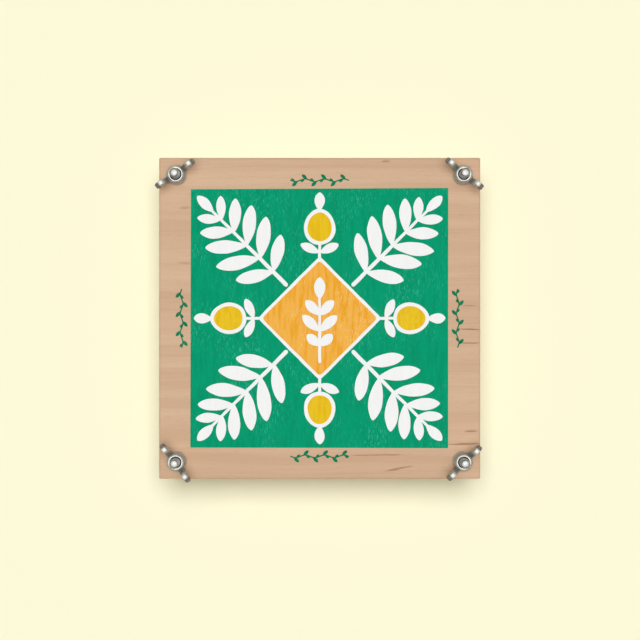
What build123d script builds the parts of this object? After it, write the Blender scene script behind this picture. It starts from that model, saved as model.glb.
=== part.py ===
from build123d import *

import math
import os

# Flower press. Two square plywood boards squeeze a stack of corrugated cards and blotters. Four
# square-neck bolts stand up from the bottom board through the corners, and a wing nut on each draws
# the top board down. Millimetres, +Z up, origin at the middle of the bottom board's underside.

# Boards: plywood, with a bolt near each corner
BOARD_SIDE = 200.0
BOARD_THICKNESS = 9.0
BOARD_CORNER_ROUND = 0.8
BOARD_EDGE_ROUND = 0.5
BOLT_INSET = 10.8  # from a board's two edges to the bolt's axis
BOLT_HOLE_CLEARANCE = 0.4  # all round the thread

# Bolts: M6, a flat countersunk head, then a square neck that the wood keeps from turning
BOLT_DIAMETER = 6.0
BOLT_LENGTH = 65.0  # overall, from the head's flat face to the tip
BOLT_TIP_CHAMFER = 0.8
HEAD_DIAMETER = 12.5
HEAD_RIM = 0.6
HEAD_SINK = 0.3  # how far the head's flat face lies inside the underside
HEAD_CLEARANCE = 0.1  # between the head's cone and its seat
NECK_OVERSIZE = 0.4  # how much wider the square is than the thread
NECK_LENGTH = 2.6  # past the head's cone
NECK_CLEARANCE = 0.02

# Sheets: square, with the corners cut off to pass the bolts
SHEET_SIDE = 188.0
SHEET_BOLT_GAP = 3.0  # from a thread to a cut corner
SHEET_STRAY = 0.8  # how far a sheet may lie off the middle
SHEET_TWIST_DEGREES = 0.35  # that it may lie out of square

# Corrugated cards: two liners with a wavy paper glued between them
CARD_COUNT = 6
CARD_THICKNESS = 3.0
CARD_LINER = 0.35
CARD_WAVE_WALL = 0.3
CARD_FLUTE_PITCH = 6.5
CARD_GLUE_WIDTH = 0.7  # of a wave's crest on a liner

# Blotters: a pair between each two cards, and the flowers go inside the pair
PAIR_BLOTTER_COUNT = 2
BLOTTER_THICKNESS = 1.1

# Wing nuts: M6, cast, with the wings standing up
NUT_SPAN = 28.8
NUT_HEIGHT = 14.5
NUT_BASE_DIAMETER = 12.6
NUT_BASE_HEIGHT = 1.6
NUT_TOP_WALL = 1.05  # of the hub's top, round the mouth of the thread
NUT_HUB_HEIGHT = 7.2
NUT_TOP_ROUND = 0.5
NUT_BORE_CLEARANCE = 0.05
NUT_MOUTH_DEPTH = 0.7  # the countersink where the thread comes out
NUT_WING_THICKNESS = 3.0
NUT_FINGER_GAP = 1.6  # from the hub's top to a wing's inner edge
NUT_WING_FOOT = 0.9  # the wing's lowest point over the board
NUT_WING_EDGE_ROUND = 0.6
NUT_FLARE_END = 4.4  # from a wing's outer edge in to where the flare has thinned to the wing
NUT_FLARE_SINK = 0.4  # how far inside the hub's face the flare starts

# Tables of shares and angles, chosen by hand
FLARE_START_DEGREES = 52.0  # round the hub, from the wing
FLARE_TOP_SHARE = 0.45  # of the hub's base, that the flare has drawn in to at the nut's top
FLARE_PULL_SHARE = 0.42  # of the flare's length, at both of its ends
WING_LOWER_PULL_SHARES = (0.55, 0.5)  # of the wing's reach and of its rise
WING_UPPER_PULL_SHARES = (0.45, 0.5)
WING_HUB_SHARE = 0.8  # of the hub's height, where the wing's upper edge leaves it
WAVE_ROUND_SHARE = 0.9  # of the largest radius that fits a wave's bottom
SHEET_PLACE_SHARES = (  # across, along and twist of each sheet, from the bottom up
    (0.4, -0.3, 0.5), (-0.6, 0.2, -0.4), (0.1, 0.7, 0.3), (0.8, -0.5, -0.6),
    (-0.3, 0.5, 0.8), (0.5, 0.1, -0.2), (-0.8, -0.6, 0.4), (0.2, 0.9, -0.7),
    (0.7, -0.2, 0.1), (-0.4, 0.6, -0.9), (0.3, -0.8, 0.6), (-0.7, 0.3, 0.2),
    (0.6, 0.4, -0.5), (-0.2, -0.7, 0.9), (0.9, 0.2, -0.3), (-0.5, -0.1, 0.4),
)
NUT_TURN_SHARES = (-0.147, 0.126, 0.098, -0.108)  # of a turn anticlockwise from +X, in the corners' order

# One overrun for every cut, so that no cut ends on a face
OVERRUN = 1.0

# Places that follow from the sizes
BOLT_PLACE = BOARD_SIDE / 2 - BOLT_INSET
CORNERS = {
    "front_left": (-BOLT_PLACE, -BOLT_PLACE),
    "front_right": (BOLT_PLACE, -BOLT_PLACE),
    "back_left": (-BOLT_PLACE, BOLT_PLACE),
    "back_right": (BOLT_PLACE, BOLT_PLACE),
}
BOLT_RADIUS = BOLT_DIAMETER / 2
HOLE_RADIUS = BOLT_RADIUS + BOLT_HOLE_CLEARANCE
NECK_WIDTH = BOLT_DIAMETER + NECK_OVERSIZE
HEAD_DEPTH = HEAD_RIM + (HEAD_DIAMETER - NECK_WIDTH) / 2  # a cone of 90 degrees
NECK_END = HEAD_SINK + HEAD_DEPTH + NECK_LENGTH
HUB_TOP_RADIUS = BOLT_RADIUS + NUT_BORE_CLEARANCE + NUT_MOUTH_DEPTH + NUT_TOP_WALL
WING_TIP_RADIUS = (NUT_SPAN / 2 - HUB_TOP_RADIUS - NUT_FINGER_GAP) / 2  # seen from the side
FLARE_REACH = NUT_SPAN / 2 - NUT_FLARE_END


def turned(outline):
    """A solid of revolution about Z from points of radius and height."""
    return revolve(Plane.XZ * make_face(Polyline(*outline, close=True)), Axis.Z)


def prism(face, low, high):
    """A flat face stood up from one height to another."""
    return Pos(0, 0, low) * extrude(face, high - low)


def at_corners(shape):
    """A copy of a shape at each bolt's axis."""
    return [Pos(x, y, 0) * shape for x, y in CORNERS.values()]


def square_board(low):
    """A board with its corners and edges eased by sanding."""
    board = prism(RectangleRounded(BOARD_SIDE, BOARD_SIDE, BOARD_CORNER_ROUND), low, low + BOARD_THICKNESS)
    rims = board.faces().sort_by(Axis.Z)
    return fillet(rims[0].edges() + rims[-1].edges(), BOARD_EDGE_ROUND)


def bolt_seat():
    """The space that a bolt takes in the bottom board: countersink, square neck and clearance hole."""
    rim_radius = HEAD_DIAMETER / 2 + HEAD_CLEARANCE
    cone_start = HEAD_SINK + HEAD_RIM + HEAD_CLEARANCE
    countersink = turned([
        (0, -OVERRUN),
        (rim_radius, -OVERRUN),
        (rim_radius, cone_start),
        (0, cone_start + rim_radius),
    ])
    pocket_width = NECK_WIDTH + 2 * NECK_CLEARANCE
    pocket = prism(Rectangle(pocket_width, pocket_width), 0, NECK_END + NECK_CLEARANCE)
    hole = prism(Circle(HOLE_RADIUS), 0, BOARD_THICKNESS + OVERRUN)
    return countersink + pocket + hole


def bottom_board():
    return square_board(0) - at_corners(bolt_seat())


def top_board(low):
    hole = prism(Circle(HOLE_RADIUS), low - OVERRUN, low + BOARD_THICKNESS + OVERRUN)
    return square_board(low) - at_corners(hole)


def square_neck_bolt():
    """A bolt on the Z axis, head down, as it sits in the bottom board."""
    tip = HEAD_SINK + BOLT_LENGTH
    cone_end = HEAD_SINK + HEAD_DEPTH
    turning = turned([
        (0, HEAD_SINK),
        (HEAD_DIAMETER / 2, HEAD_SINK),
        (HEAD_DIAMETER / 2, HEAD_SINK + HEAD_RIM),
        (NECK_WIDTH / 2, cone_end),
        (BOLT_RADIUS, cone_end),
        (BOLT_RADIUS, tip - BOLT_TIP_CHAMFER),
        (BOLT_RADIUS - BOLT_TIP_CHAMFER, tip),
        (0, tip),
    ])
    return turning + prism(Rectangle(NECK_WIDTH, NECK_WIDTH), HEAD_SINK + HEAD_RIM, NECK_END)


def sheet_outline():
    """A square with its corners cut off square to the diagonals, clear of the bolts."""
    corner_cut = math.hypot(BOLT_PLACE, BOLT_PLACE) - BOLT_RADIUS - SHEET_BOLT_GAP
    return Rectangle(SHEET_SIDE, SHEET_SIDE) & Rot(0, 0, 45) * Rectangle(2 * corner_cut, 2 * corner_cut)


def flute_channel(half_pitch):
    """The air beside one wave: flat on its liner above, with sloping sides and a rounded bottom."""
    top = CARD_THICKNESS / 2 - CARD_LINER
    bottom = CARD_WAVE_WALL - top
    run = half_pitch - CARD_GLUE_WIDTH
    rise = top - bottom
    across_wall = CARD_WAVE_WALL * math.hypot(run, rise) / rise
    middle = (half_pitch - across_wall) / 2
    half_top = middle + top * run / rise
    half_bottom = middle + bottom * run / rise
    outline = [(-half_top, top), (-half_bottom, bottom), (half_bottom, bottom), (half_top, top)]
    bend = math.atan2(rise, run)
    round_radius = half_bottom * WAVE_ROUND_SHARE / math.tan(bend / 2)
    sides = FilletPolyline(*outline, radius=round_radius)
    return make_face([*sides.edges(), Line(outline[0], outline[-1])])


def corrugated_card():
    """One card lying on the XY plane, with its flutes running along Y."""
    flutes = round(SHEET_SIDE / CARD_FLUTE_PITCH)
    pitch = SHEET_SIDE / flutes
    upper = flute_channel(pitch / 2)
    lower = Rot(0, 0, 180) * upper
    left = -SHEET_SIDE / 2
    channels = [Pos(left + n * pitch, 0) * upper for n in range(flutes + 1)]
    channels += [Pos(left + (n + 0.5) * pitch, 0) * lower for n in range(flutes)]
    section_face = Rectangle(SHEET_SIDE, CARD_THICKNESS) - channels
    strip = extrude(Plane.XZ * section_face, SHEET_SIDE / 2, both=True)
    return Pos(0, 0, CARD_THICKNESS / 2) * strip & prism(sheet_outline(), -OVERRUN, CARD_THICKNESS + OVERRUN)


def blotter():
    """One blotter lying on the XY plane."""
    return prism(sheet_outline(), 0, BLOTTER_THICKNESS)


def stack(low):
    """Every sheet by name, laid one on the other from a height up, and the height of the top."""
    card, paper = corrugated_card(), blotter()
    kinds = ["card"]
    for _ in range(CARD_COUNT - 1):
        kinds += ["blotter"] * PAIR_BLOTTER_COUNT + ["card"]
    sheets, counts = {}, {"card": 0, "blotter": 0}
    for layer, kind in enumerate(kinds):
        counts[kind] += 1
        across, along, twist = SHEET_PLACE_SHARES[layer % len(SHEET_PLACE_SHARES)]
        place = Pos(across * SHEET_STRAY, along * SHEET_STRAY, low) * Rot(0, 0, twist * SHEET_TWIST_DEGREES)
        if kind == "card":
            quarter_turn = 90 * (counts[kind] % 2)  # every second card is laid the other way
            sheets[f"corrugated_card_{counts[kind]}"] = place * Rot(0, 0, quarter_turn) * card
            low += CARD_THICKNESS
        else:
            sheets[f"blotter_{counts[kind]:02d}"] = place * paper
            low += BLOTTER_THICKNESS
    return sheets, low


def wing_side():
    """A wing's outline from the side, in radius and height, from the nut's axis out."""
    tip_x = NUT_SPAN / 2 - WING_TIP_RADIUS
    tip_z = NUT_HEIGHT - WING_TIP_RADIUS
    hub_x = HUB_TOP_RADIUS - NUT_TOP_ROUND
    leave_z = NUT_HUB_HEIGHT * WING_HUB_SHARE
    outer, inner = NUT_SPAN / 2, tip_x - WING_TIP_RADIUS
    low_reach, low_rise = WING_LOWER_PULL_SHARES
    high_reach, high_rise = WING_UPPER_PULL_SHARES
    lower = Bezier(
        (hub_x, NUT_WING_FOOT),
        (hub_x + (outer - hub_x) * low_reach, NUT_WING_FOOT),
        (outer, tip_z - (tip_z - NUT_WING_FOOT) * low_rise),
        (outer, tip_z),
    )
    tip = ThreePointArc((outer, tip_z), (tip_x, NUT_HEIGHT), (inner, tip_z))
    upper = Bezier(
        (inner, tip_z),
        (inner, tip_z - (tip_z - leave_z) * high_rise),
        (hub_x + (inner - hub_x) * high_reach, leave_z),
        (hub_x, leave_z),
    )
    root = Polyline((hub_x, leave_z), (0, leave_z), (0, NUT_WING_FOOT), (hub_x, NUT_WING_FOOT))
    return make_face([lower, tip, upper, *root.edges()])


def wing_plan(hub_radius):
    """A wing's outline from above: a strip that flares out to the round hub."""
    half = NUT_WING_THICKNESS / 2
    angle = math.radians(FLARE_START_DEGREES)
    start = (hub_radius * math.cos(angle), hub_radius * math.sin(angle))
    pull = math.dist(start, (FLARE_REACH, half)) * FLARE_PULL_SHARE
    flare = Bezier(
        start,
        (start[0] + pull * math.sin(angle), start[1] - pull * math.cos(angle)),
        (FLARE_REACH - pull, half),
        (FLARE_REACH, half),
    )
    half_outline = [Line((0, start[1]), start), flare, Line((FLARE_REACH, half), (NUT_SPAN, half))]
    other_half = [mirror(edge, Plane.XZ) for edge in half_outline]
    ends = [Line((0, start[1]), (0, -start[1])), Line((NUT_SPAN, half), (NUT_SPAN, -half))]
    return make_face(half_outline + other_half + ends)


def wing():
    """One wing along +X, drawn in towards the top, with its edges rounded as cast."""
    hub_radius = NUT_BASE_DIAMETER / 2
    low_plan = wing_plan(hub_radius - NUT_FLARE_SINK)
    high_plan = Pos(0, 0, NUT_HEIGHT) * wing_plan(hub_radius * FLARE_TOP_SHARE)
    side = Pos(0, NUT_BASE_DIAMETER, 0) * extrude(Plane.XZ * wing_side(), 2 * NUT_BASE_DIAMETER)
    blank = side & loft([low_plan, high_plan], ruled=True)
    outside = blank.edges().filter_by(lambda edge: edge.center().X > hub_radius)
    beside = outside.filter_by(lambda edge: abs(edge.center().Y) > NUT_WING_EDGE_ROUND / 2)
    along = beside.filter_by(lambda edge: edge.bounding_box().size.X > NUT_WING_EDGE_ROUND / 2)
    return fillet(along, NUT_WING_EDGE_ROUND)


def wing_nut():
    """A nut on the Z axis, its wings along X and its base on the XY plane."""
    hub = turned([
        (0, 0),
        (NUT_BASE_DIAMETER / 2, 0),
        (NUT_BASE_DIAMETER / 2, NUT_BASE_HEIGHT),
        (HUB_TOP_RADIUS, NUT_HUB_HEIGHT - NUT_TOP_ROUND),
        (HUB_TOP_RADIUS - NUT_TOP_ROUND, NUT_HUB_HEIGHT),
        (0, NUT_HUB_HEIGHT),
    ])
    bore_radius = BOLT_RADIUS + NUT_BORE_CLEARANCE
    bore = turned([
        (0, -OVERRUN),
        (bore_radius, -OVERRUN),
        (bore_radius, NUT_HUB_HEIGHT - NUT_MOUTH_DEPTH),
        (bore_radius + NUT_MOUTH_DEPTH + OVERRUN, NUT_HUB_HEIGHT + OVERRUN),
        (0, NUT_HUB_HEIGHT + OVERRUN),
    ])
    right = wing()
    return hub + right + Rot(0, 0, 180) * right - bore


def press():
    """Every piece by name, in its place."""
    pieces = {"bottom_board": bottom_board()}
    sheets, stack_top = stack(BOARD_THICKNESS)
    pieces |= sheets
    pieces["top_board"] = top_board(stack_top)
    bolt, nut = square_neck_bolt(), wing_nut()
    for (corner, (x, y)), turn_share in zip(CORNERS.items(), NUT_TURN_SHARES):
        pieces[f"square_neck_bolt_{corner}"] = Pos(x, y, 0) * bolt
        nut_place = Pos(x, y, stack_top + BOARD_THICKNESS) * Rot(0, 0, 360 * turn_share)
        pieces[f"wing_nut_{corner}"] = nut_place * nut
    return pieces


os.makedirs("parts", exist_ok=True)
for name, piece in press().items():
    export_step(piece, f"parts/{name}.step")
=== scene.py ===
import math
import random

import bmesh
import bpy
from mathutils import Euler, Matrix, Vector, noise


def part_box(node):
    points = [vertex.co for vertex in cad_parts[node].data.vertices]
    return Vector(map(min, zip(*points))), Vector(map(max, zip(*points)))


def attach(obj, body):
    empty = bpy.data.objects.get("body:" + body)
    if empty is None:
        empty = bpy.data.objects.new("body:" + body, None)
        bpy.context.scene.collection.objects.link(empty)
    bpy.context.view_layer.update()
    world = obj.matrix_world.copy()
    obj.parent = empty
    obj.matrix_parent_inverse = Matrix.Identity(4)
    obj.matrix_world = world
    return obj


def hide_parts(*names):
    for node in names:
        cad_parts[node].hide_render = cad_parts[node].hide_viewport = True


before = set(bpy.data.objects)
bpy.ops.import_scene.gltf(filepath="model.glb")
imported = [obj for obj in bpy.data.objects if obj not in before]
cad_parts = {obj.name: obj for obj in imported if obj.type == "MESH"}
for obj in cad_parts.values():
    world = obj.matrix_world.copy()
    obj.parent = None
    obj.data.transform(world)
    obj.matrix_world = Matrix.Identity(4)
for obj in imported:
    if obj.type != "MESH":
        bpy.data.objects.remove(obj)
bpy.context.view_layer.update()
MM = 0.001  # lengths are written in millimetres, and the frame is in metres


# Bottom board. A square of birch plywood, seven plies with the outer grain running left to right,
# sanded and sealed with a thin matt varnish. It lies flat on the table, and its four corners are
# bored and countersunk from below for the bolts.

PLY_COUNT = 7
PLYWOOD_FACE = {"light": (214, 178, 146), "dark": (202, 164, 131), "fleck": (184, 144, 110)}
PLYWOOD_EDGE = {"long": (214, 180, 144), "end": (176, 133, 95), "glue": (112, 76, 50)}
STREAK_COLOUR = (160, 107, 68)
HANDLED_COLOUR = (184, 148, 115)
HANDLED_RIM = 1.6
VENEER_PATCHES = {  # sizes along X, Y and Z, here and for the other patches
    "sway": (150, 45, 45),
    "bands": (260, 7.5, 7.5),
    "lines": (42, 0.75, 0.75),
    "flecks": (4.2, 0.42, 0.42),
}
VENEER_SWAY = 9.0
VENEER_DEPTH = 0.03
EDGE_PATCHES = {
    "waver": (16, 16, 5),
    "pores": (0.3, 0.3, 0.3),
    "fibres": (14, 14, 0.3),
    "saw": (0.45, 0.45, 40),
    "drift": (100 / 3, 100 / 3, 100 / 3),
}
GLUE_WAVER = 0.5
STREAK_PATCH = (7, 0.5, 7)
STREAK_RAGGEDNESS = 1.5
HANDLED_PATCH = (9, 9, 9)


def colour(red, green, blue):
    """A colour as the eye reads it, 0 to 255, in the linear values that shaders take."""
    shares = [channel / 255 for channel in (red, green, blue)]
    linear = [s / 12.92 if s < 0.04 else ((s + 0.055) / 1.055) ** 2.4 for s in shares]
    return (*linear, 1.0)


class Wiring:
    """Adds nodes to one node tree. An input takes a plain value, or the output of another node."""

    def __init__(self, tree):
        self.tree = tree

    def put(self, socket, value):
        if isinstance(value, bpy.types.NodeSocket):
            self.tree.links.new(value, socket)
        else:
            socket.default_value = value

    def node(self, kind, inputs=None, **settings):
        made = self.tree.nodes.new(kind)
        for name, value in settings.items():
            setattr(made, name, value)
        for key, value in (inputs or {}).items():
            self.put(made.inputs[key], value)
        return made

    def calc(self, operation, first, second=0.0):
        return self.node("ShaderNodeMath", {0: first, 1: second}, operation=operation).outputs[0]

    def vector(self, operation, first, second):
        return self.node("ShaderNodeVectorMath", {0: first, 1: second}, operation=operation).outputs[0]

    def axes(self, vector):
        return self.node("ShaderNodeSeparateXYZ", {0: vector}).outputs

    def noise(self, position, size, detail=2.0, shift=0.0):
        """Soft noise about a half, with patches of the given millimetres along X, Y and Z."""
        scaled = self.vector("DIVIDE", position, [length * MM for length in size])
        moved = self.vector("ADD", scaled, (shift, shift, shift))
        return self.node("ShaderNodeTexNoise", {"Vector": moved, "Scale": 1.0, "Detail": detail}).outputs[0]

    def ramp(self, value, low, high):
        """0 before low and 1 past high, with a soft rise between."""
        inputs = {0: value, 1: low, 2: high}
        return self.node("ShaderNodeMapRange", inputs, interpolation_type="SMOOTHSTEP").outputs[0]

    def fade(self, length, ends):
        """0 at the first of two ends in millimetres and 1 at the second."""
        return self.ramp(length, ends[0] * MM, ends[1] * MM)

    def span(self, value, low, high):
        """A mask of 0 to 1 spread over a range of values."""
        return self.node("ShaderNodeMapRange", {0: value, 3: low, 4: high}).outputs[0]

    def mix(self, factor, first, second):
        return self.node("ShaderNodeMix", {0: factor, 6: first, 7: second}, data_type="RGBA").outputs[2]

    def tint(self, under, mask, share, over):
        """A share of a written colour, laid over another colour through a mask."""
        return self.mix(self.calc("MULTIPLY", mask, share), under, colour(*over))

    def bump(self, height, depth):
        """Normals of a surface whose full height is depth millimetres."""
        return self.node("ShaderNodeBump", {"Height": height, "Distance": depth * MM}).outputs["Normal"]

    def position(self):
        return self.node("ShaderNodeTexCoord").outputs["Object"]

    def normal(self):
        return self.node("ShaderNodeNewGeometry").outputs["Normal"]

    def use(self, name, **inputs):
        """Places a shader group, with its inputs by name, and gives back its outputs."""
        made = self.node("ShaderNodeGroup", node_tree=bpy.data.node_groups[name])
        for key, value in inputs.items():
            self.put(made.inputs[key], value)
        return made.outputs


def shader_group(name, inputs, outputs):
    """A new shader group: its wiring, its inputs and its outputs. Inputs are Vector or Float."""
    group = bpy.data.node_groups.new(name, "ShaderNodeTree")
    for label, kind in inputs.items():
        group.interface.new_socket(label, in_out="INPUT", socket_type=f"NodeSocket{kind}")
    for label in outputs:
        group.interface.new_socket(label, in_out="OUTPUT", socket_type="NodeSocketFloat")
    return Wiring(group), group.nodes.new("NodeGroupInput").outputs, group.nodes.new("NodeGroupOutput").inputs


def new_material(name, **sockets):
    """A material with a plain shader, its even values set, and the wiring to add the rest."""
    material = bpy.data.materials.new(name)
    material.use_nodes = True
    shader = material.node_tree.nodes["Principled BSDF"]
    for label, value in sockets.items():
        shader.inputs[label.replace("_", " ")].default_value = value
    return material, Wiring(material.node_tree), shader.inputs


def dress(node, material):
    """Gives a piece of the frame its finish."""
    node.data.materials.clear()
    node.data.materials.append(material)


def make_veneer_grain():
    """Sliced veneer: long soft bands, fine lines and short darker flecks, all along X."""
    wiring, given, made = shader_group("Veneer grain", {"Position": "Vector"}, ["Tone", "Flecks", "Height"])
    sway = wiring.calc("SUBTRACT", wiring.noise(given["Position"], VENEER_PATCHES["sway"], detail=1.0), 0.5)
    aside = wiring.calc("MULTIPLY", sway, VENEER_SWAY * MM)
    shift = wiring.node("ShaderNodeCombineXYZ", {"Y": aside}).outputs[0]
    bent = wiring.vector("ADD", given["Position"], shift)
    bands = wiring.noise(bent, VENEER_PATCHES["bands"], detail=2.0)
    lines = wiring.noise(bent, VENEER_PATCHES["lines"], detail=2.0, shift=3.1)
    flecks = wiring.noise(bent, VENEER_PATCHES["flecks"], detail=1.0, shift=8.7)
    both = wiring.calc("ADD", wiring.calc("MULTIPLY", bands, 0.68), wiring.calc("MULTIPLY", lines, 0.32))
    wiring.put(made["Tone"], wiring.ramp(both, 0.28, 0.72))
    wiring.put(made["Flecks"], wiring.ramp(flecks, 0.6, 0.74))
    wiring.put(made["Height"], wiring.calc("SUBTRACT", lines, wiring.calc("MULTIPLY", flecks, 0.5)))


def make_ply_edge():
    """Where a board is cut through, its plies lie in turn with the grain and across it."""
    inputs = {"Position": "Vector", "Normal": "Vector", "Underside": "Float", "Thickness": "Float"}
    wiring, given, made = shader_group("Ply edge", inputs, ["Edge", "End", "Glue", "Tone", "Pores", "Height"])
    facing = wiring.axes(given["Normal"])
    sideways, lengthways, upright = [wiring.calc("ABSOLUTE", facing[axis]) for axis in range(3)]
    wave = wiring.calc("SUBTRACT", wiring.noise(given["Position"], EDGE_PATCHES["waver"]), 0.5)
    waver = wiring.calc("MULTIPLY", wave, GLUE_WAVER * MM)
    height = wiring.calc("SUBTRACT", wiring.axes(given["Position"])[2], given["Underside"])
    depth = wiring.calc("DIVIDE", wiring.calc("ADD", height, waver), given["Thickness"])
    layer = wiring.calc("FLOOR", depth)
    across = wiring.calc("GREATER_THAN", sideways, lengthways)
    end = wiring.calc("ABSOLUTE", wiring.calc("SUBTRACT", wiring.calc("FLOORED_MODULO", layer, 2.0), across))
    within = wiring.calc("ABSOLUTE", wiring.calc("SUBTRACT", wiring.calc("FRACT", depth), 0.5))
    pores = wiring.noise(given["Position"], EDGE_PATCHES["pores"], detail=1.0)
    fibres = wiring.noise(given["Position"], EDGE_PATCHES["fibres"], detail=2.0, shift=5.0)
    saw = wiring.noise(given["Position"], EDGE_PATCHES["saw"], detail=2.0, shift=7.0)
    level = wiring.vector("MULTIPLY", given["Position"], (1, 1, 0))
    drift = wiring.noise(level, EDGE_PATCHES["drift"])
    tone = wiring.calc("ADD", wiring.calc("MULTIPLY", fibres, 0.5), wiring.calc("MULTIPLY", drift, 0.5))
    sawn_tone = wiring.calc("ADD", tone, wiring.calc("MULTIPLY", saw, 0.25))
    wiring.put(made["Edge"], wiring.ramp(upright, 0.72, 0.4))
    wiring.put(made["End"], end)
    wiring.put(made["Glue"], wiring.ramp(within, 0.43, 0.475))
    wiring.put(made["Tone"], wiring.ramp(sawn_tone, 0.45, 0.8))
    wiring.put(made["Pores"], wiring.calc("MULTIPLY", wiring.ramp(pores, 0.52, 0.68), end))
    wiring.put(made["Height"], wiring.calc("MULTIPLY", wiring.calc("ADD", pores, saw), 0.5))


def make_mineral_streak():
    """One brown streak in the veneer, ragged along the grain and lost at both ends."""
    inputs = {
        "Position": "Vector",
        "Centre": "Vector",
        "Reach": "Vector",
        "Slant": "Float",
        "Strength": "Float",
    }
    wiring, given, made = shader_group("Mineral streak", inputs, ["Mask"])
    local = wiring.vector("SUBTRACT", given["Position"], given["Centre"])
    slanted = {"Vector": local, "Angle": given["Slant"]}
    level = wiring.node("ShaderNodeVectorRotate", slanted, rotation_type="Z_AXIS").outputs[0]
    shares = wiring.vector("MULTIPLY", wiring.vector("DIVIDE", level, given["Reach"]), (1, 1, 0))
    away = wiring.node("ShaderNodeVectorMath", {0: shares}, operation="LENGTH").outputs["Value"]
    rough = wiring.calc("SUBTRACT", wiring.noise(given["Position"], STREAK_PATCH), 0.5)
    ragged = wiring.calc("MULTIPLY", rough, STREAK_RAGGEDNESS)
    mask = wiring.ramp(wiring.calc("ADD", away, ragged), 1.1, 0.4)
    wiring.put(made["Mask"], wiring.calc("MULTIPLY", mask, given["Strength"]))


make_veneer_grain()
make_ply_edge()
make_mineral_streak()


def plywood(node, streaks=()):
    """A sealed plywood board. Streaks are rows of place, half length, half width, slant and strength."""
    low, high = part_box(node)
    material, wiring, shader = new_material(f"plywood_{node}", Specular_IOR_Level=0.35)
    position = wiring.position()
    tone, flecks, grain_height = wiring.use("Veneer grain", Position=position)
    edge = wiring.use("Ply edge", Position=position, Normal=wiring.normal(), Underside=low.z,
                      Thickness=(high.z - low.z) / PLY_COUNT)
    face = wiring.mix(tone, colour(*PLYWOOD_FACE["dark"]), colour(*PLYWOOD_FACE["light"]))
    face = wiring.tint(face, flecks, 0.3, PLYWOOD_FACE["fleck"])
    for x, y, half_length, half_width, slant, strength in streaks:
        mask = wiring.use("Mineral streak", Position=position, Centre=(x * MM, y * MM, 0), Strength=strength,
                          Reach=(half_length * MM, half_width * MM, 1), Slant=math.radians(-slant))["Mask"]
        face = wiring.mix(mask, face, colour(*STREAK_COLOUR))
    x, y, _ = wiring.axes(wiring.vector("ABSOLUTE", position, (0, 0, 0)))
    rim = wiring.ramp(wiring.calc("MAXIMUM", x, y), high.x - HANDLED_RIM * MM, high.x)
    touched = wiring.span(wiring.noise(position, HANDLED_PATCH, detail=2.0, shift=1.7), 0.1, 0.9)
    handled = wiring.calc("MULTIPLY", rim, touched)
    face = wiring.mix(handled, face, colour(*HANDLED_COLOUR))
    plies = wiring.mix(edge["End"], colour(*PLYWOOD_EDGE["long"]), colour(*PLYWOOD_EDGE["end"]))
    plies = wiring.mix(wiring.span(edge["Tone"], 0.45, 0.0), plies, colour(*PLYWOOD_FACE["fleck"]))
    plies = wiring.tint(plies, edge["Pores"], 0.45, PLYWOOD_EDGE["glue"])
    plies = wiring.mix(edge["Glue"], plies, colour(*PLYWOOD_EDGE["glue"]))
    wiring.put(shader["Base Color"], wiring.mix(edge["Edge"], face, plies))
    wiring.put(shader["Roughness"], wiring.span(tone, 0.62, 0.5))
    wiring.put(shader["Normal"], wiring.bump(wiring.calc("ADD", grain_height, edge["Height"]), VENEER_DEPTH))
    return material


dress(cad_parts["bottom_board"], plywood("bottom_board"))


# Bolts. Four M6 steel bolts, cold headed with a square neck, the thread rolled and then zinc plated.
# Each is pushed up through the bottom board, where its neck bites the wood and keeps it from turning.

CORNERS = ("front_left", "front_right", "back_left", "back_right")
BOLT_COLUMNS = 40
THREAD_PITCH = 1.0
THREAD_CREST = 3.0
THREAD_ROOT = 2.39
THREAD_LENGTH = 40.0
THREAD_RUN_OUT = 1.4
THREAD_FORM = ((0.0, THREAD_ROOT), (0.25, THREAD_ROOT), (0.5625, THREAD_CREST), (0.6875, THREAD_CREST))
TIP_RADIUS = 2.2
TIP_DOME = 0.35
TIP_RING_SHARES = (0.82, 0.6, 0.34, 0.12)
HEAD_ROUND = 0.15
HEAD_RIM = 0.6
NECK_HALF_WIDTH = 3.2
NECK_START = 3.65
NECK_END = 6.25
WELD = 0.001
THREAD_ROOT_DARKENING = (THREAD_CREST - 0.1, THREAD_ROOT + 0.05)  # the radii where the darkening starts and is full
PLATING_PATCHES = {"cloud": (3.4, 3.4, 3.4), "pits": (0.4, 0.4, 0.4)}
PLATING_DEPTH = 0.012
ZINC = {"light": (211, 210, 207), "dark": (192, 191, 188), "root_darkening": (112, 109, 102), "end": (186, 185, 181)}


def column_angle(column):
    """The angle of one of the columns of points round the bolt's axis."""
    return 2 * math.pi * column / BOLT_COLUMNS


def around(angle, radius, height):
    """A point round the bolt's axis."""
    return Vector((radius * math.cos(angle), radius * math.sin(angle), height)) * MM


def bolt_ring(mesh, radius, height, square=False):
    """One ring of points round the bolt's axis, round or square."""
    ring = []
    for column in range(BOLT_COLUMNS):
        angle = column_angle(column)
        reach = radius / max(abs(math.cos(angle)), abs(math.sin(angle))) if square else radius
        ring.append(mesh.verts.new(around(angle, reach, height)))
    return ring


def bolt_head(mesh, head_radius, thread_start):
    """The head, its cone, the square neck and the plain shank, from the flat face up."""
    rings = [
        bolt_ring(mesh, head_radius - HEAD_ROUND, 0),
        bolt_ring(mesh, head_radius, HEAD_ROUND),
        bolt_ring(mesh, head_radius, HEAD_RIM),
        bolt_ring(mesh, NECK_HALF_WIDTH, NECK_START, square=True),
        bolt_ring(mesh, NECK_HALF_WIDTH, NECK_END, square=True),
        bolt_ring(mesh, THREAD_CREST, NECK_END),
        bolt_ring(mesh, THREAD_CREST, thread_start),
    ]
    for low, high in zip(rings, rings[1:]):
        for column in range(BOLT_COLUMNS):
            after = (column + 1) % BOLT_COLUMNS
            mesh.faces.new((low[column], low[after], high[after], high[column]))


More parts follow.
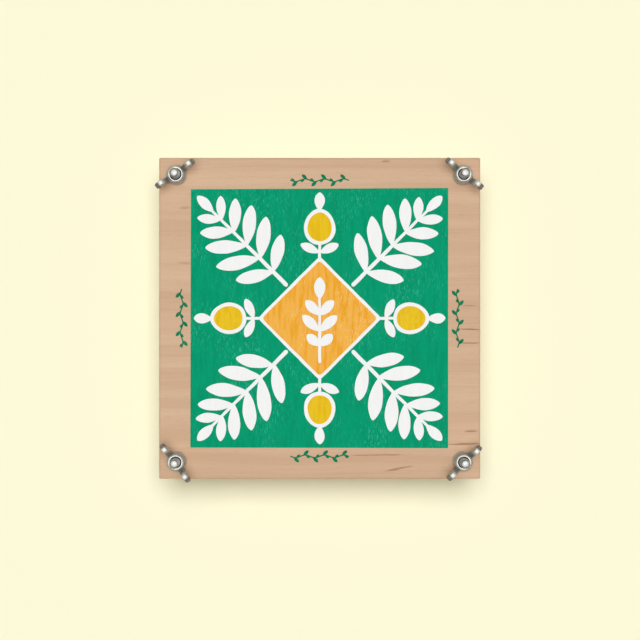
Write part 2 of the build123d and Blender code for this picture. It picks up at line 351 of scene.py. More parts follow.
def bolt_thread(mesh, start, tip):
    """The thread, wound as one strip: a column's row meets the row one turn up in the next."""
    turns = math.ceil((tip - start) / THREAD_PITCH) + 2
    rows = []
    for turn in range(-1, turns):
        for phase, form_radius in THREAD_FORM:
            row = []
            for column in range(BOLT_COLUMNS):
                wound = start + THREAD_PITCH * (turn + phase + column / BOLT_COLUMNS)
                height = min(max(wound, start), tip)
                cut = min((height - start) / THREAD_RUN_OUT, 1)
                radius = THREAD_CREST + (form_radius - THREAD_CREST) * cut
                radius = min(radius, TIP_RADIUS + tip - height)
                row.append(mesh.verts.new(around(column_angle(column), radius, height)))
            rows.append(row)
    step = len(THREAD_FORM)
    for number in range(len(rows) - step - 1):
        for column in range(BOLT_COLUMNS):
            after = (column + 1) % BOLT_COLUMNS
            next_row = number + step if after == 0 else number
            low, high = rows[next_row], rows[next_row + 1]
            mesh.faces.new((rows[number][column], low[after], high[after], rows[number + 1][column]))


def bolt_end(mesh, tip):
    """The end that the thread roller left, a little domed."""
    low = bolt_ring(mesh, TIP_RADIUS, tip - TIP_DOME)
    for share in TIP_RING_SHARES:
        high = bolt_ring(mesh, TIP_RADIUS * share, tip - TIP_DOME * share ** 2)
        for column in range(BOLT_COLUMNS):
            after = (column + 1) % BOLT_COLUMNS
            mesh.faces.new((low[column], low[after], high[after], high[column]))
        low = high


def new_piece(name, mesh, material, place=(0, 0, 0), sharp_degrees=40):
    """An object from a finished mesh, its points set in the frame, with smooth faces but for sharp edges."""
    data = bpy.data.meshes.new(name)
    bmesh.ops.recalc_face_normals(mesh, faces=mesh.faces)
    bmesh.ops.translate(mesh, verts=mesh.verts, vec=Vector(place))
    mesh.to_mesh(data)
    mesh.free()
    data.polygons.foreach_set("use_smooth", [True] * len(data.polygons))
    data.set_sharp_from_angle(angle=math.radians(sharp_degrees))
    data.materials.append(material)
    piece = bpy.data.objects.new(name, data)
    bpy.context.scene.collection.objects.link(piece)
    return piece


def make_plated_metal():
    """Handled zinc plating: soft patches, dull pits, and how far a point is from its bolt's axis."""
    outputs = ["Cloud", "Pits", "Radius", "Height"]
    wiring, given, made = shader_group("Plated metal", {"Position": "Vector"}, outputs)
    x, y, _ = wiring.axes(wiring.vector("ABSOLUTE", given["Position"], (0, 0, 0)))
    low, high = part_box("square_neck_bolt_back_right")
    across = wiring.calc("SUBTRACT", x, (low.x + high.x) / 2)
    along = wiring.calc("SUBTRACT", y, (low.y + high.y) / 2)
    squares = [wiring.calc("MULTIPLY", side, side) for side in (across, along)]
    cloud = wiring.noise(given["Position"], PLATING_PATCHES["cloud"], detail=3.0)
    pits = wiring.noise(given["Position"], PLATING_PATCHES["pits"], detail=2.0, shift=2.3)
    wiring.put(made["Cloud"], wiring.ramp(cloud, 0.3, 0.7))
    wiring.put(made["Pits"], wiring.ramp(pits, 0.56, 0.72))
    wiring.put(made["Radius"], wiring.calc("SQRT", wiring.calc("ADD", *squares)))
    wiring.put(made["Height"], pits)


make_plated_metal()


def zinc_steel():
    """Bright plated steel, darker on the flanks near the thread's root, and with a dull end."""
    material, wiring, shader = new_material("zinc_plated_steel", Metallic=1.0)
    position = wiring.position()
    plating = wiring.use("Plated metal", Position=position)
    in_root = wiring.fade(plating["Radius"], THREAD_ROOT_DARKENING)
    upright = wiring.axes(wiring.normal())[2]
    at_end = wiring.ramp(upright, 0.85, 0.95)
    # Darker on the flanks near the thread's root, away from faces that point straight up or down.
    root_darkening = wiring.calc("MULTIPLY", in_root, wiring.ramp(wiring.calc("ABSOLUTE", upright), 0.95, 0.85))
    metal = wiring.mix(plating["Cloud"], colour(*ZINC["dark"]), colour(*ZINC["light"]))
    metal = wiring.tint(metal, root_darkening, 0.7, ZINC["root_darkening"])
    wiring.put(shader["Base Color"], wiring.mix(at_end, metal, colour(*ZINC["end"])))
    rough = wiring.calc("ADD", wiring.span(plating["Pits"], 0.36, 0.44), wiring.calc("MULTIPLY", root_darkening, 0.2))
    wiring.put(shader["Roughness"], wiring.calc("ADD", rough, wiring.calc("MULTIPLY", at_end, 0.14)))
    wiring.put(shader["Normal"], wiring.bump(plating["Height"], PLATING_DEPTH))
    return material


bolt_finish = zinc_steel()
for corner in CORNERS:
    node = f"square_neck_bolt_{corner}"
    low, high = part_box(node)
    length = (high.z - low.z) / MM
    bolt = bmesh.new()
    bolt_head(bolt, (high.x - low.x) / 2 / MM, length - THREAD_LENGTH)
    bolt_thread(bolt, length - THREAD_LENGTH, length - TIP_DOME)
    bolt_end(bolt, length)
    bmesh.ops.remove_doubles(bolt, verts=bolt.verts, dist=WELD * MM)
    open_ends = [edge for edge in bolt.edges if edge.is_boundary]
    bmesh.ops.holes_fill(bolt, edges=open_ends, sides=0)
    place = ((low.x + high.x) / 2, (low.y + high.y) / 2, low.z)
    piece = new_piece(f"threaded_bolt_{corner}", bolt, bolt_finish, place)
    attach(piece, "base")
    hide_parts(node)


# Corrugated cards. Double-faced kraft board, a wavy paper glued between two liners, cut square with
# its corners off. The flutes let air through to dry the flowers, and lie crosswise in turn.

CARD_COUNT = 6
SHEET_SIDE = 188.0
FLUTE_COUNT = 29
FLUTE_PITCH = SHEET_SIDE / FLUTE_COUNT
FLUTE_DEPTH = 0.05
PAPER_PATCHES = {
    "clouds": (7, 7, 7),
    "fibres": (0.9, 0.22, 0.4),
    "cross": (0.22, 0.9, 0.4),
    "specks": (0.8, 0.8, 0.8),
}
KRAFT = {"light": (190, 152, 111), "dark": (164, 125, 85), "speck": (116, 84, 54)}


def make_paper_fibres():
    """Felted paper: soft clouds, matted fibres and a few dark specks."""
    wiring, given, made = shader_group("Paper fibres", {"Position": "Vector"}, ["Cloud", "Specks", "Height"])
    clouds = wiring.noise(given["Position"], PAPER_PATCHES["clouds"], detail=2.0)
    fibres = wiring.noise(given["Position"], PAPER_PATCHES["fibres"], detail=3.0, shift=4.0)
    cross = wiring.noise(given["Position"], PAPER_PATCHES["cross"], detail=3.0, shift=9.0)
    specks = wiring.noise(given["Position"], PAPER_PATCHES["specks"], detail=1.0, shift=6.0)
    matted = wiring.calc("MULTIPLY", wiring.calc("ADD", fibres, cross), 0.5)
    both = wiring.calc("ADD", wiring.calc("MULTIPLY", clouds, 0.45), wiring.calc("MULTIPLY", matted, 0.55))
    wiring.put(made["Cloud"], wiring.ramp(both, 0.38, 0.62))
    wiring.put(made["Specks"], wiring.ramp(specks, 0.71, 0.78))
    wiring.put(made["Height"], matted)


make_paper_fibres()


def kraft_card(flutes_along):
    """Brown liner over flutes that run along X or Y and show through as faint ridges, bumped,
    with their light and shade also painted into the colour as faint stripes.
    """
    name = f"kraft_card_{flutes_along}"
    material, wiring, shader = new_material(name, Roughness=0.85, Specular_IOR_Level=0.2)
    position = wiring.position()
    paper = wiring.use("Paper fibres", Position=position)
    across = wiring.axes(position)[1 if flutes_along == "x" else 0]
    ridges = wiring.calc("COSINE", wiring.calc("MULTIPLY", across, 2 * math.pi / (FLUTE_PITCH * MM)))
    # The flute ridges are painted lighter at their crests and darker between: painted light and shade.
    cloud_and_ridge_shade = wiring.calc("ADD", paper["Cloud"], wiring.calc("MULTIPLY", ridges, 0.12))
    brown = wiring.mix(cloud_and_ridge_shade, colour(*KRAFT["dark"]), colour(*KRAFT["light"]))
    relief = wiring.calc("ADD", paper["Height"], wiring.calc("MULTIPLY", ridges, 0.5))
    wiring.put(shader["Base Color"], wiring.tint(brown, paper["Specks"], 0.6, KRAFT["speck"]))
    wiring.put(shader["Normal"], wiring.bump(relief, FLUTE_DEPTH))
    return material


card_finishes = [kraft_card("y"), kraft_card("x")]
for number in range(1, CARD_COUNT + 1):
    dress(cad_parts[f"corrugated_card_{number}"], card_finishes[number % 2])


# Blotters. Thick unsized paper, guillotined a little out of true, with soft felted edges. They lie in
# pairs between the cards, and the flowers go inside a pair.

BLOTTER_COUNT = 10
BLOTTER_STEP = 3.0
BLOTTER_WAVER = 0.22
BLOTTER_WAVE = 20.0
BLOTTER_SEED_STEP = 3.7
BLOTTER_SOFT_EDGE = ((0.0, 0.3), (0.3, 0.02), (0.7, 0.02), (1.0, 0.3))  # share of the thickness, drawn in by
FELT_DEPTH = 0.08
BLOTTING = {"light": (243, 237, 227), "dark": (230, 222, 208), "speck": (190, 176, 150)}


def blotting_paper():
    """Cream paper with no size, so soft that it shows its fibres."""
    material, wiring, shader = new_material("blotting_paper", Roughness=0.95, Specular_IOR_Level=0.1)
    paper = wiring.use("Paper fibres", Position=wiring.position())
    pale = wiring.mix(paper["Cloud"], colour(*BLOTTING["dark"]), colour(*BLOTTING["light"]))
    wiring.put(shader["Base Color"], wiring.tint(pale, paper["Specks"], 0.35, BLOTTING["speck"]))
    wiring.put(shader["Normal"], wiring.bump(paper["Height"], FELT_DEPTH))
    return material


def sheet_corners(node):
    """The corners of a flat sheet of the frame in order round its middle, and the middle."""
    low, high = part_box(node)
    middle = (low + high) / 2
    top = [vertex.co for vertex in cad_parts[node].data.vertices if vertex.co.z > middle.z]
    corners = {(round(point.x, 6), round(point.y, 6)) for point in top}
    return sorted(corners, key=lambda point: math.atan2(point[1] - middle.y, point[0] - middle.x)), middle


def cut_edge(corners, seed):
    """Points along a sheet's cut edge, each drawn in by a little and never out."""
    edge = []
    for start, end in zip(corners, corners[1:] + corners[:1]):
        steps = max(1, round(math.dist(start, end) / (BLOTTER_STEP * MM)))
        for step in range(steps):
            point = Vector(start).lerp(Vector(end), step / steps)
            patch = BLOTTER_WAVE * MM
            waver = 0.5 + 0.5 * noise.noise(Vector((point.x / patch, point.y / patch, seed)))
            edge.append((point, waver * BLOTTER_WAVER * MM))
    return edge


blotter_finish = blotting_paper()
for number in range(1, BLOTTER_COUNT + 1):
    node = f"blotter_{number:02d}"
    low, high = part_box(node)
    corners, middle = sheet_corners(node)
    edge = cut_edge(corners, number * BLOTTER_SEED_STEP)
    sheet = bmesh.new()
    loops = []
    for share, soft in BLOTTER_SOFT_EDGE:
        height = low.z + share * (high.z - low.z)
        loop = []
        for point, waver in edge:
            inward = (middle.to_2d() - point).normalized() * (waver + soft * MM)
            loop.append(sheet.verts.new((point.x + inward.x, point.y + inward.y, height)))
        loops.append(loop)
    for lower, upper in zip(loops, loops[1:]):
        for place in range(len(lower)):
            after = (place + 1) % len(lower)
            sheet.faces.new((lower[place], lower[after], upper[after], upper[place]))
    sheet.faces.new(loops[0])
    sheet.faces.new(loops[-1])
    piece = new_piece(f"blotting_sheet_{number:02d}", sheet, blotter_finish)
    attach(piece, node)
    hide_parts(node)


# Top board. The same plywood as the bottom one, with a clearance hole at each corner so that it slides
# down the bolts. Its upper veneer has a few brown mineral streaks, most of them near the right edge.

TOP_STREAKS = (  # place in X and Y, half length, half width, slant in degrees, strength
    (90.0, -78.4, 13.0, 0.75, 1.5, 0.85),
    (94.3, -6.9, 8.5, 0.6, -1.0, 0.85),
    (93.5, -15.4, 7.5, 0.65, 0.5, 0.75),
    (92.2, 7.9, 6.0, 0.5, 0.0, 0.5),
    (94.7, -70.3, 5.0, 0.9, 0.0, 0.7),
    (36.5, -85.2, 20.0, 0.55, 0.5, 0.6),
    (49.0, -93.7, 10.5, 0.75, 10.8, 0.75),
    (41.2, 97.9, 3.5, 0.8, 0.0, 0.6),
    (-84.2, 68.7, 4.5, 1.2, 0.0, 0.35),
    (-84.2, 34.4, 5.5, 1.0, 0.0, 0.3),
)

dress(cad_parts["top_board"], plywood("top_board", TOP_STREAKS))


# Printed panel. Thick screen inks laid on the top board one over the other: a green ground, and on it
# white leaves, an orange diamond and yellow fruit, with the small wavers of a hand-cut stencil.

PANEL_CORNERS = ((-80.6, -80.5), (80.0, -80.9), (80.1, 81.2), (-80.2, 80.4))  # a little out of true
PANEL_ROUND = 0.6
INK_FILM = 0.03
INK_STAGGER = 0.0004
STENCIL_WAVER = 0.28
STENCIL_PATCH = 7.0
SIDE_STEP = 4.0
LEAF_STEPS = 30
LEAF_LEAN = 1.2
LEAF_FULLNESS = 0.62
CAP_STEPS = 6
QUARTER_TURNS = (0, 90, 180, 270)
DIAMOND_REACH = 36.0
DIAMOND_BORDER = 2.7
DIAMOND_ROUND = 2.4
SPRIG_STEM = (-27.0, 14.0, 1.9, 1.4)  # foot, tip, width at each
SPRIG_TIP_LEAF = (12.0, 13.5, 7.0)  # place on the stem, length, width
SPRIG_PAIRS = ((-17.0, 10.5, 50.0), (-8.0, 14.5, 48.0), (2.0, 12.5, 44.0))  # place, length, degrees
SPRIG_LEAF_WIDTH = 6.2
FROND_TURN = 45
FROND_START = 21.0
FROND_LENGTH = 68.0
FROND_STEM = (2.6, 1.6)  # width at the foot and at the tip
FROND_TIP_LEAF = (4.0, 14.0, 6.2)  # how far it overlaps the stem, length, width
FROND_SHIFT = 0.6
FROND_SPLAY = 2.0
FROND_SPREAD = 0.04
FROND_PAIRS = (  # how far along the stem, length, width, degrees off the stem
    (11.0, 24.0, 8.2, 57.0),
    (22.5, 27.0, 8.8, 54.0),
    (34.5, 25.5, 8.4, 50.0),
    (46.0, 21.5, 7.6, 46.0),
    (56.5, 15.5, 6.2, 41.0),
)
FRUIT_PLACE = 57.0
FRUIT_SIZE = (15.0, 18.0)
FRUIT_BORDER = 2.3
FRUIT_STEPS = 40
FRUIT_TAPER_SHARE = 0.1
FRUIT_STALK = 1.8
FRUIT_TIP_LEAF = (1.0, 11.5, 6.4)  # how far past the fruit, length, width
FRUIT_SIDE_LEAF = (2.2, 66.0, 13.0, 5.6)  # how far past the diamond, degrees, length, width
STALK_OVERLAP = 1.0
BOARD_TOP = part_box("top_board")[1].z / MM
GREEN_INK = {"base": (0, 155, 112), "thin": (66, 186, 155), "dense": (0, 147, 105)}
WHITE_INK = {"base": (246, 246, 247), "thin": (238, 243, 241), "dense": (249, 249, 250)}
ORANGE_INK = {"base": (245, 181, 78), "thin": (254, 205, 130), "dense": (239, 165, 36)}
YELLOW_INK = {"base": (236, 196, 35), "thin": (243, 208, 78), "dense": (230, 186, 24)}
INK_PATCHES = {
    "worn": (26, 34, 20),
    "streaks": (0.6, 3.6, 4),
    "specks": (0.7, 1.4, 1),
    "pooled": (2.4, 15, 9),
}
INK_DEPTH = 0.015
STENCIL_SEEDS = {"leaves": 2.0, "diamond": 50.0, "fruit": 60.0, "sprig": 70.0}
DRAW_SEED = 11
draw = random.Random(DRAW_SEED)
noise.seed_set(DRAW_SEED)  # Blender would seed it by the clock


def make_ink_film():
    """Ink pulled over bare grain: upright streaks and specks where it is thin, pools where it is thick."""
    wiring, given, made = shader_group("Ink film", {"Position": "Vector"}, ["Thin", "Dense", "Height"])
    patches = wiring.ramp(wiring.noise(given["Position"], INK_PATCHES["worn"], detail=2.0), 0.42, 0.64)
    streaks = wiring.noise(given["Position"], INK_PATCHES["streaks"], detail=2.0, shift=2.0)
    specks = wiring.noise(given["Position"], INK_PATCHES["specks"], detail=1.0, shift=7.0)
    pooled = wiring.noise(given["Position"], INK_PATCHES["pooled"], detail=2.0, shift=5.0)
    worn = wiring.calc("MAXIMUM", wiring.ramp(streaks, 0.55, 0.68), wiring.ramp(specks, 0.64, 0.72))
    wiring.put(made["Thin"], wiring.calc("MULTIPLY", worn, wiring.span(patches, 0.15, 1.0)))
    wiring.put(made["Dense"], wiring.ramp(pooled, 0.42, 0.68))
    wiring.put(made["Height"], wiring.calc("SUBTRACT", streaks, wiring.calc("MULTIPLY", worn, 0.6)))


make_ink_film()


def ink(name, tints, thin_share):
    """A matt screen ink, paler by a share where its film is thin."""
    material, wiring, shader = new_material(name, Specular_IOR_Level=0.03)
    film = wiring.use("Ink film", Position=wiring.position())
    laid = wiring.mix(film["Dense"], colour(*tints["base"]), colour(*tints["dense"]))
    wiring.put(shader["Base Color"], wiring.tint(laid, film["Thin"], thin_share, tints["thin"]))
    wiring.put(shader["Roughness"], wiring.span(film["Thin"], 0.6, 0.75))
    wiring.put(shader["Normal"], wiring.bump(film["Height"], INK_DEPTH))
    return material


def hand_cut(outline, seed):
    """An outline with a stencil knife's small wavers."""
    cut = []
    for x, y in outline:
        place = Vector((x / STENCIL_PATCH, y / STENCIL_PATCH, seed))
        aside = noise.noise_vector(place) * STENCIL_WAVER
        cut.append((x + aside.x, y + aside.y))
    return cut


def turned(outline, degrees, foot=(0, 0)):
    """An outline turned about the origin and then moved to its foot."""
    across, along = math.cos(math.radians(degrees)), math.sin(math.radians(degrees))
    return [(foot[0] + x * across - y * along, foot[1] + x * along + y * across) for x, y in outline]


def leaf(foot, degrees, length, width):
    """A leaf from its foot, fullest just past the middle, with a blunt tip."""
    shares = [(1 - math.cos(math.pi * step / LEAF_STEPS)) / 2 for step in range(LEAF_STEPS + 1)]
    swells = [math.sin(math.pi * share ** LEAF_LEAN) ** LEAF_FULLNESS for share in shares[:-1]]
    halves = [width / 2 * swell for swell in swells] + [0.0]
    edge = [(length * share, half) for share, half in zip(shares, halves)]
    other_edge = [(x, -y) for x, y in reversed(edge[1:-1])]
    return turned(edge + other_edge, degrees, foot)


def stem(points, start_width, end_width):
    """A tapered stroke along a row of points, with round ends."""
    left, right = [], []
    for number, (x, y) in enumerate(points):
        before, after = points[max(number - 1, 0)], points[min(number + 1, len(points) - 1)]
        run = Vector((after[0] - before[0], after[1] - before[1])).normalized()
        half = (start_width + (end_width - start_width) * number / (len(points) - 1)) / 2
        left.append((x - run.y * half, y + run.x * half))
        right.append((x + run.y * half, y - run.x * half))
    caps = []
    for end, edge_point in ((points[-1], left[-1]), (points[0], right[0])):
        arm = Vector(edge_point) - Vector(end)
        swung = [arm @ Matrix.Rotation(math.pi * step / CAP_STEPS, 2) for step in range(1, CAP_STEPS)]
        caps.append([tuple(Vector(end) + spoke) for spoke in swung])
    return left + caps[0] + right[::-1] + caps[1]


def line(start, end, steps=12):
    """Even points along a straight line."""
    return [(start[0] + (end[0] - start[0]) * n / steps, start[1] + (end[1] - start[1]) * n / steps)
            for n in range(steps + 1)]


def rounded(corners, radius, steps=5):
    """A polygon with its corners rounded and its sides stepped, so that they can waver."""
    outline = []
    count = len(corners)
    for number in range(count):
        here = Vector(corners[number])
        run = Vector(corners[(number + 1) % count]) - here
        to_last = (Vector(corners[number - 1]) - here).normalized() * radius
        to_next = run.normalized() * radius
        for step in range(steps + 1):
            share = step / steps
            outline.append(tuple(here + to_last * (1 - share) ** 2 + to_next * share ** 2))
        sides = max(2, round(run.length / SIDE_STEP))
        outline += [tuple(here + run * n / sides) for n in range(1, sides)]
    return outline


def fruit(width, height):
    """A plump fruit out along X, a little narrower at its outer end."""
    outline = []
    for step in range(FRUIT_STEPS):
        angle = 2 * math.pi * step / FRUIT_STEPS
        along = math.cos(angle)
        half = width / 2 * math.sin(angle) * (1 - FRUIT_TAPER_SHARE * along)
        outline.append((FRUIT_PLACE + height / 2 * along, half))
    return outline


def lay_ink(name, outlines, layer, material):
    """Thin slabs of ink for outlines in millimetres, each a hair higher than the last."""
    film = bmesh.new()
    for number, outline in enumerate(outlines):
        low = (BOARD_TOP + layer * INK_FILM) * MM
        high = low + (INK_FILM + number * INK_STAGGER) * MM
        under = [film.verts.new((x * MM, y * MM, low)) for x, y in outline]
        over = [film.verts.new((x * MM, y * MM, high)) for x, y in outline]
        film.faces.new(under[::-1])
        film.faces.new(over)
        for place in range(len(outline)):
            after = (place + 1) % len(outline)
            film.faces.new((under[place], under[after], over[after], over[place]))
    piece = new_piece(name, film, material)
    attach(piece, "top_board")


def frond(degrees):
    """One fern frond along the panel's diagonal: a stem, leaflets in pairs and one at the tip."""
    start = (FROND_START * math.sqrt(2), 0)
    tip = (start[0] + FROND_LENGTH, 0)
    shapes = [stem(line(start, tip), *FROND_STEM)]
    for along, length, width, splay in FROND_PAIRS:
        for side in (1, -1):
            foot = (start[0] + along + draw.uniform(-FROND_SHIFT, FROND_SHIFT), 0)
            lean = side * (splay + draw.uniform(-FROND_SPLAY, FROND_SPLAY))
            grown = length * draw.uniform(1 - FROND_SPREAD, 1 + FROND_SPREAD)
            shapes.append(leaf(foot, lean, grown, width))
    overlap, length, width = FROND_TIP_LEAF
    shapes.append(leaf((tip[0] - overlap, 0), 0, length, width))
    return [turned(shape, degrees) for shape in shapes]


def fruit_sprig(degrees):
    """The white part of one fruit: its border, its stalk, two small leaves and the leaf at its end."""
    width, height = FRUIT_SIZE
    reach = DIAMOND_REACH + DIAMOND_BORDER
    past_fruit, *tip_leaf = FRUIT_TIP_LEAF
    past_diamond, splay, *side_leaf = FRUIT_SIDE_LEAF
    shapes = [
        stem(line((reach - STALK_OVERLAP, 0), (FRUIT_PLACE, 0)), FRUIT_STALK, FRUIT_STALK),
        fruit(width + 2 * FRUIT_BORDER, height + 2 * FRUIT_BORDER),
        leaf((FRUIT_PLACE + height / 2 + past_fruit, 0), 0, *tip_leaf),
        leaf((reach + past_diamond, 0), splay, *side_leaf),
        leaf((reach + past_diamond, 0), -splay, *side_leaf),
    ]
    return [turned(shape, degrees) for shape in shapes]


def diamond(reach):
    """A square on its corner, the corners a little round."""
    return rounded([(reach, 0), (0, reach), (-reach, 0), (0, -reach)], DIAMOND_ROUND)


def diamond_sprig():
    """The upright sprig inside the diamond, its leaves in pairs."""
    foot, tip, *widths = SPRIG_STEM
    place, *tip_leaf = SPRIG_TIP_LEAF
    shapes = [stem(line((0, foot), (0, tip)), *widths), leaf((0, place), 90, *tip_leaf)]
    for height, length, splay in SPRIG_PAIRS:
        for side in (1, -1):
            shapes.append(leaf((0, height), 90 + side * splay, length, SPRIG_LEAF_WIDTH))
    return shapes


def hand_cut_all(shapes, work):
    """Outlines of one stencil, each with wavers of its own."""
    return [hand_cut(shape, STENCIL_SEEDS[work] + number) for number, shape in enumerate(shapes)]


panel = rounded(PANEL_CORNERS, PANEL_ROUND)
green = ink("green_ink", GREEN_INK, thin_share=0.6)
white = ink("white_ink", WHITE_INK, thin_share=0.45)
orange = ink("orange_ink", ORANGE_INK, thin_share=0.8)
yellow = ink("yellow_ink", YELLOW_INK, thin_share=0.6)
white_work = [diamond(DIAMOND_REACH + DIAMOND_BORDER)]
for quarter in QUARTER_TURNS:
    white_work += frond(quarter + FROND_TURN)
    white_work += fruit_sprig(quarter)
fruits = [turned(fruit(*FRUIT_SIZE), quarter) for quarter in QUARTER_TURNS]
lay_ink("printed_ground", [panel], 0, green)
lay_ink("printed_leaves", hand_cut_all(white_work, "leaves"), 1, white)
lay_ink("printed_diamond", hand_cut_all([diamond(DIAMOND_REACH)], "diamond"), 2, orange)
lay_ink("printed_fruit", hand_cut_all(fruits, "fruit"), 2, yellow)
lay_ink("printed_sprig", hand_cut_all(diamond_sprig(), "sprig"), 3, white)


# Margin vines. A small running vine on each bare margin, to finish the wood round the panel. It is
# printed in a darker green ink straight on the wood, as thick as the panel's ground.

VINE_PLACE = 86.0
VINE_LENGTH = 36.0
VINE_WAVE = 12.0
VINE_RISE = 0.8
VINE_STEPS = 48
VINE_STEM = 0.8
VINE_TURNS = 6
VINE_LEAVES = ((-1.2, 42.0, 4.4, 2.1), (0.4, -38.0, 3.0, 1.5))  # place from the turn, degrees, length, width
VINE_INK = {"base": (22, 126, 84), "thin": (70, 140, 100), "dense": (16, 116, 78)}


def vine(degrees):
    """A waving stem with two leaves at each turn, along one margin."""
    def rise(x):
        return VINE_RISE * math.sin(2 * math.pi * x / VINE_WAVE)

    along = [VINE_LENGTH * (step / VINE_STEPS - 0.5) for step in range(VINE_STEPS + 1)]
    shapes = [stem([(x, rise(x)) for x in along], VINE_STEM, VINE_STEM)]
    for number in range(VINE_TURNS):
        turn = VINE_WAVE * (number - (VINE_TURNS - 1) / 2) / 2
        side = 1 if rise(turn) > 0 else -1
        for shift, splay, length, width in VINE_LEAVES:
            foot = (turn + shift, rise(turn + shift))
            shapes.append(leaf(foot, side * splay, length, width))
    return [turned([(x, y - VINE_PLACE) for x, y in shape], degrees) for shape in shapes]


vines = [shape for quarter in QUARTER_TURNS for shape in vine(quarter)]
lay_ink("printed_vines", vines, 0, ink("vine_ink", VINE_INK, thin_share=0.6))


# Wing nuts. Malleable iron, cast in one with two wings to grip, tapped M6, faced on the hub's top and
# zinc plated. One on each bolt draws the top board down. Fingers rub the wings' upper faces bright, and
# these and the faced hub top also carry a painted highlight. The wings' roots and the mouth round the
# bolt are darkened with painted shade, and the wings' ends with a painted dark reflection.

HUB_RIM = (4.6, 4.3)  # these pairs are radii, where a colour starts and where it is full
MOUTH_RIM = (3.75, 3.55)
ROOT_START = (4.8, 5.8)
ROOT_END = (8.8, 7.2)
RUBBED_AND_HIGHLIGHT_START = (8.2, 9.8)
WING_END = (11.4, 12.4)
HUB_FACE = (6.3, 6.7)  # these two are heights over the board
ROOT_RISE = (3.4, 5.0)
CAST_DEPTH = 0.03
# The end colour is a painted dark reflection for the wings' ends.
CAST = {"light": (206, 203, 198), "dark": (178, 175, 169), "pit": (98, 95, 91), "end": (92, 89, 85)}
# The faced and rubbed colours carry a painted highlight as well as wear; the mouth colour is painted shade.
WEAR_AND_PAINTED_LIGHT = {"faced_and_highlight": (238, 237, 234), "dulled": (202, 200, 196), "rubbed_and_highlight": (206, 205, 200), "mouth": (60, 58, 55)}
# Painted shade for the wings' roots.
ROOT_PAINTED_SHADE = (84, 82, 78)


def cast_zinc():
    """Dull cast plating. The faced hub top and the rubbed upper faces of the wings carry a painted highlight,
    the wings' roots and the mouth round the bolt painted shade, and the wings' ends a painted dark
    reflection.
    """
    material, wiring, shader = new_material("cast_zinc", Metallic=0.55, Specular_IOR_Level=0.3)
    position = wiring.position()
    plating = wiring.use("Plated metal", Position=position)
    radius = plating["Radius"]
    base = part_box("wing_nut_front_left")[0].z
    height = wiring.calc("SUBTRACT", wiring.axes(position)[2], base)
    upright = wiring.axes(wiring.normal())[2]
    # The faced hub top is painted bright: a faced finish and a painted highlight.
    hub_face = wiring.calc("MULTIPLY", wiring.fade(radius, HUB_RIM), wiring.fade(height, HUB_FACE))
    faced_and_highlight = wiring.calc("MULTIPLY", hub_face, wiring.ramp(upright, 0.3, 0.6))
    # The wings' ends are darkened with a painted dark reflection.
    at_end = wiring.fade(radius, WING_END)
    # The wings' upper faces, between root and end, are finger wear and a painted highlight.
    mid_wing = wiring.calc("SUBTRACT", wiring.fade(radius, RUBBED_AND_HIGHLIGHT_START), at_end)
    rubbed_and_highlight = wiring.calc("MULTIPLY", mid_wing, wiring.ramp(upright, 0.35, 0.7))
    # The wings' roots, between hub and wing, are darkened with painted shade.
    neck = wiring.calc("MULTIPLY", wiring.fade(radius, ROOT_START), wiring.fade(radius, ROOT_END))
    root_shade = wiring.calc("MULTIPLY", neck, wiring.fade(height, ROOT_RISE))
    cast = wiring.mix(plating["Cloud"], colour(*CAST["dark"]), colour(*CAST["light"]))
    cast = wiring.tint(cast, plating["Pits"], 0.5, CAST["pit"])
    cast = wiring.tint(cast, at_end, 0.75, CAST["end"])
    cast = wiring.tint(cast, root_shade, 0.6, ROOT_PAINTED_SHADE)
    cast = wiring.tint(cast, rubbed_and_highlight, 0.75, WEAR_AND_PAINTED_LIGHT["rubbed_and_highlight"])
    ring = wiring.mix(plating["Cloud"], colour(*WEAR_AND_PAINTED_LIGHT["dulled"]), colour(*WEAR_AND_PAINTED_LIGHT["faced_and_highlight"]))
    cast = wiring.mix(faced_and_highlight, cast, ring)
    # The ring in the mouth round the bolt is painted dark as shade.
    mouth_shade = wiring.fade(radius, MOUTH_RIM)
    wiring.put(shader["Base Color"], wiring.mix(mouth_shade, cast, colour(*WEAR_AND_PAINTED_LIGHT["mouth"])))
    wiring.put(shader["Roughness"], wiring.span(wiring.calc("MAXIMUM", faced_and_highlight, rubbed_and_highlight), 0.56, 0.48))
    wiring.put(shader["Normal"], wiring.bump(plating["Height"], CAST_DEPTH))
    return material


nut_finish = cast_zinc()
for corner in CORNERS:
    dress(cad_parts[f"wing_nut_{corner}"], nut_finish)


# Table and light. The press lies on a plain cream table. A broad lamp overhead and a weak one from the
# right light the press, and one a little behind it lays its shadow on the table. The room is dim, with
# pale walls. The camera looks straight down.

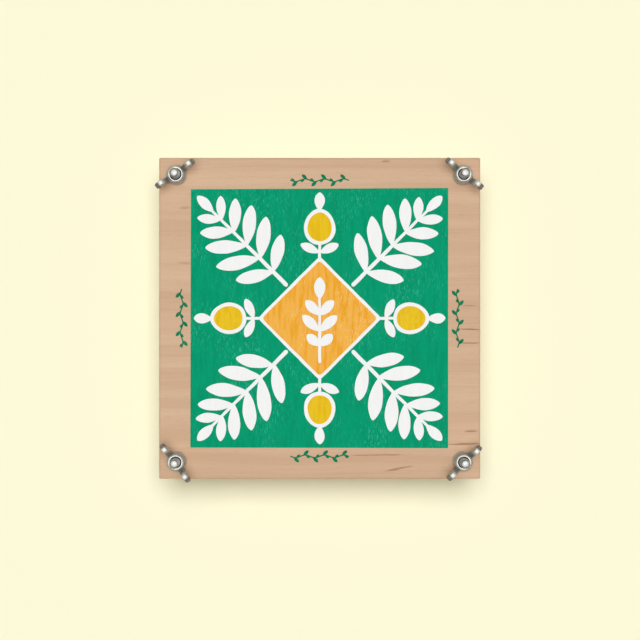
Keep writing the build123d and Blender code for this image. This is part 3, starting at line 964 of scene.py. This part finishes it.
FLOOR_REACH = 6000.0
FLOOR_SEGMENTS = 8
FLOOR_DROP = 0.1
FLOOR_COLOUR = (254, 251, 220)
LAMPS = (  # name, strength, degrees across, degrees tipped back and to the right, how the table counts
    ("press_key", 2.57, 52, 1, 0, "EXCLUDE"),
    ("table_key", 2.81, 36, 10.5, 0, "INCLUDE"),
    ("fill", 0.2, 40, 0, 48, "EXCLUDE"),
)
ROOM_LEVEL = 0.07
WALL_LEVEL = 0.95
WALL_FADE_DEGREES = (9, 17)
WALL_COLOUR = (255, 253, 238)
CAMERA_PLACE = (0.2, -1.06, 997.0)
CAMERA_LENS = 85.77

floor_mesh = bmesh.new()
bmesh.ops.create_grid(floor_mesh, x_segments=FLOOR_SEGMENTS, y_segments=FLOOR_SEGMENTS, size=FLOOR_REACH * MM)
floor_material, _, floor_shader = new_material("cream_table", Roughness=0.9, Specular_IOR_Level=0.0)
floor_shader["Base Color"].default_value = colour(*FLOOR_COLOUR)
floor = new_piece("table", floor_mesh, floor_material, (0, 0, -FLOOR_DROP * MM))


def lamp(name, strength, softness, to_back, to_right, table):
    """A far lamp, tipped from straight overhead, that lights the table alone or all but the table."""
    light = bpy.data.lights.new(name, "SUN")
    light.energy = strength
    light.angle = math.radians(softness)
    holder = bpy.data.objects.new(name, light)
    holder.rotation_euler = Euler((math.radians(-to_back), math.radians(to_right), 0))
    bpy.context.scene.collection.objects.link(holder)
    reach = bpy.data.collections.new(f"reach_of_{name}")
    reach.objects.link(floor)
    reach.collection_objects[0].light_linking.link_state = table
    holder.light_linking.receiver_collection = reach


for row in LAMPS:
    lamp(*row)

world = bpy.data.worlds.new("studio")
world.use_nodes = True
bpy.context.scene.world = world
room = Wiring(world.node_tree)
up = room.axes(room.node("ShaderNodeTexCoord").outputs["Generated"])[2]
wall_low, wall_high = [math.sin(math.radians(degrees)) for degrees in WALL_FADE_DEGREES]
room_level = room.span(room.ramp(up, wall_low, wall_high), WALL_LEVEL, ROOM_LEVEL)
background = world.node_tree.nodes["Background"].inputs
room.put(background["Strength"], room_level)
background["Color"].default_value = colour(*WALL_COLOUR)

camera = bpy.data.cameras.new("camera")
camera.lens = CAMERA_LENS
camera_object = bpy.data.objects.new("camera", camera)
camera_object.location = Vector(CAMERA_PLACE) * MM
bpy.context.scene.collection.objects.link(camera_object)
bpy.context.scene.camera = camera_object
bpy.context.scene.view_settings.view_transform = "Standard"
